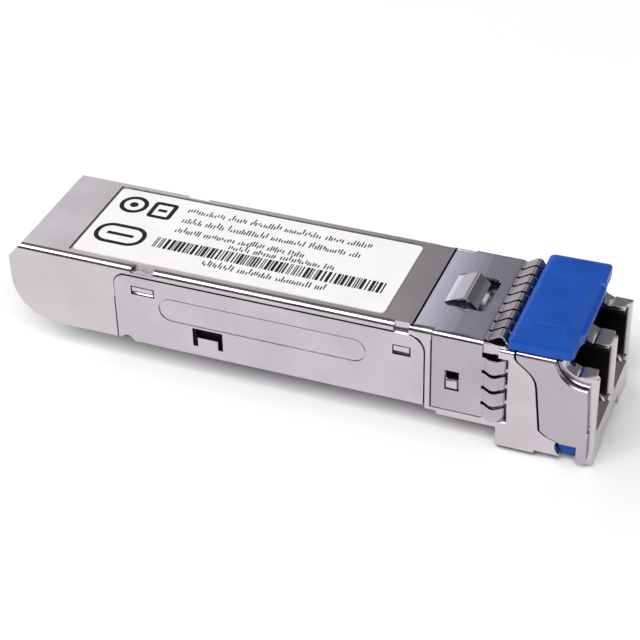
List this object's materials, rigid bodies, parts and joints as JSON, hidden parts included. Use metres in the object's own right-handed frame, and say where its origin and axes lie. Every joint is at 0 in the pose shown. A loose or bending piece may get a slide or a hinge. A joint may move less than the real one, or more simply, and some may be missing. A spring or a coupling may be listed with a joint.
{
  "type": "optical transceiver module",
  "caption": "Pluggable duplex optical transceiver module: metal shell with card-edge contacts at one end, two fibre ports and a blue swinging release bail at the other.",
  "frame": {"origin": "under the middle of the part's bounding box, level with the nose's feet, bail closed", "axes": "+X from the card-edge contacts to the ports, +Z towards the label, Y = 0 is the plane of symmetry of the outside"},
  "size_m": [0.0564, 0.0146, 0.0125],
  "materials": {
    "plated_casting": "satin nickel plate on a zinc casting",
    "cover_sheet": "bright stamped stainless sheet",
    "collar_sheet": "bright spring sheet",
    "label_film": "matt printed film",
    "bracket_metal": "satin nickel plate",
    "blue_plastic": "semi-gloss moulded blue",
    "steel": "ground steel",
    "spring_steel": "rolled spring strip",
    "black_plastic": "moulded black",
    "gold_plate": "thin gold plate",
    "zirconia": "ground zirconia",
    "clamp_metal": "plain stamped",
    "flex_film": "amber polyimide film",
    "board_laminate": "green solder mask",
    "chip_body": "moulded black",
    "chip_ceramic": "fired ceramic with tinned ends",
    "chip_ceramic_dark": "fired ceramic with tinned ends",
    "ferrite": "ferrite with tinned ends",
    "pad_silicone": "soft filled silicone"
  },
  "bodies": {
    "module": {"top_housing": "plated_casting", "bottom_cover": "cover_sheet", "emi_collar": "collar_sheet", "label": "label_film", "latch_pin": "steel", "latch_spring": "spring_steel", "receptacle_insert": "black_plastic", "transmitter_barrel": "gold_plate", "transmitter_can": "gold_plate", "receiver_barrel": "gold_plate", "receiver_can": "gold_plate", "ferrule_sleeves": "zirconia", "optics_clamp": "clamp_metal", "transmitter_flex": "flex_film", "receiver_flex": "flex_film", "circuit_board": "board_laminate", "contacts_top": "gold_plate", "contacts_bottom": "gold_plate", "laser_driver": "chip_body", "limiting_amplifier": "chip_body", "microcontroller": "chip_body", "capacitors": "chip_ceramic", "resistors": "chip_ceramic_dark", "inductors": "ferrite", "thermal_pad": "pad_silicone"},
    "bail": {"bail_bracket": "bracket_metal", "bail_grip": "blue_plastic", "bail_bosses": "blue_plastic", "bail_axle": "steel", "release_cam": "blue_plastic"},
    "latch": {"latch_lever": "steel"}
  },
  "joints": [
    {"name": "bail_hinge", "type": "hinge", "parent": "module", "child": "bail", "pos_m": [0.02605, 0, 0.00195], "axis": [0, 1, 0], "range_deg": [0, 60]},
    {"name": "latch_pivot", "type": "hinge", "parent": "module", "child": "latch", "pos_m": [0.02075, 0, 0.002], "axis": [0, 1, 0], "range_deg": [0, 7.2], "deforming": ["latch_spring"]}
  ],
  "couplings": [
    {"joint": "latch_pivot", "follows": "bail_hinge", "ratio": 0.12}
  ]
}
